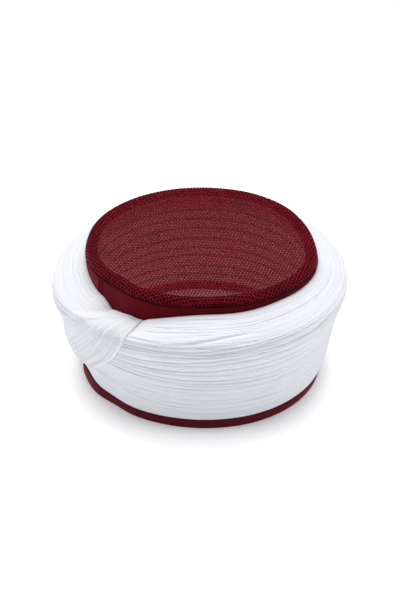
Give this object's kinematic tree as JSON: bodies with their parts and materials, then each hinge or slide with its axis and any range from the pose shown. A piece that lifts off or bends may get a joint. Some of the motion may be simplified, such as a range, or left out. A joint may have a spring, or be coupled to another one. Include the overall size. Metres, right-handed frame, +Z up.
{
  "type": "turban",
  "caption": "Turban to wear: a drum shaped cloth cap with a see-through net crown, wound round with a long finely pleated cloth whose end is tucked in at the front left.",
  "frame": {"origin": "centre of the head opening, on the plane of the cap's bottom edge", "axes": "+Z up, out through the crown; -Y to the front; +X to the right as seen from the front"},
  "size_m": [0.2326, 0.2418, 0.1128],
  "materials": {
    "wall_cloth": "matt dark red woven cloth, roughness 0.85",
    "binding_cloth": "dark red binding, roughness 0.80",
    "band_cloth": "pale grey cloth, roughness 0.75",
    "trim_cloth": "dark red trim, roughness 0.80",
    "lining_cloth": "tan stitched lining, roughness 0.85",
    "roll_padding": "dark red covered padding, roughness 0.90",
    "net": "dark red knitted net with hexagonal holes, roughness 0.70",
    "white_cloth": "fine white cloth in narrow pleats, roughness 0.85"
  },
  "bodies": {
    "root": {"cap_wall": "wall_cloth", "hem_binding": "binding_cloth", "sweatband": "band_cloth", "sweatband_trim": "trim_cloth", "lining": "lining_cloth", "rim_roll": "roll_padding", "net_crown": "net", "wrap": "white_cloth", "tuck": "white_cloth"}
  },
  "joints": []
}
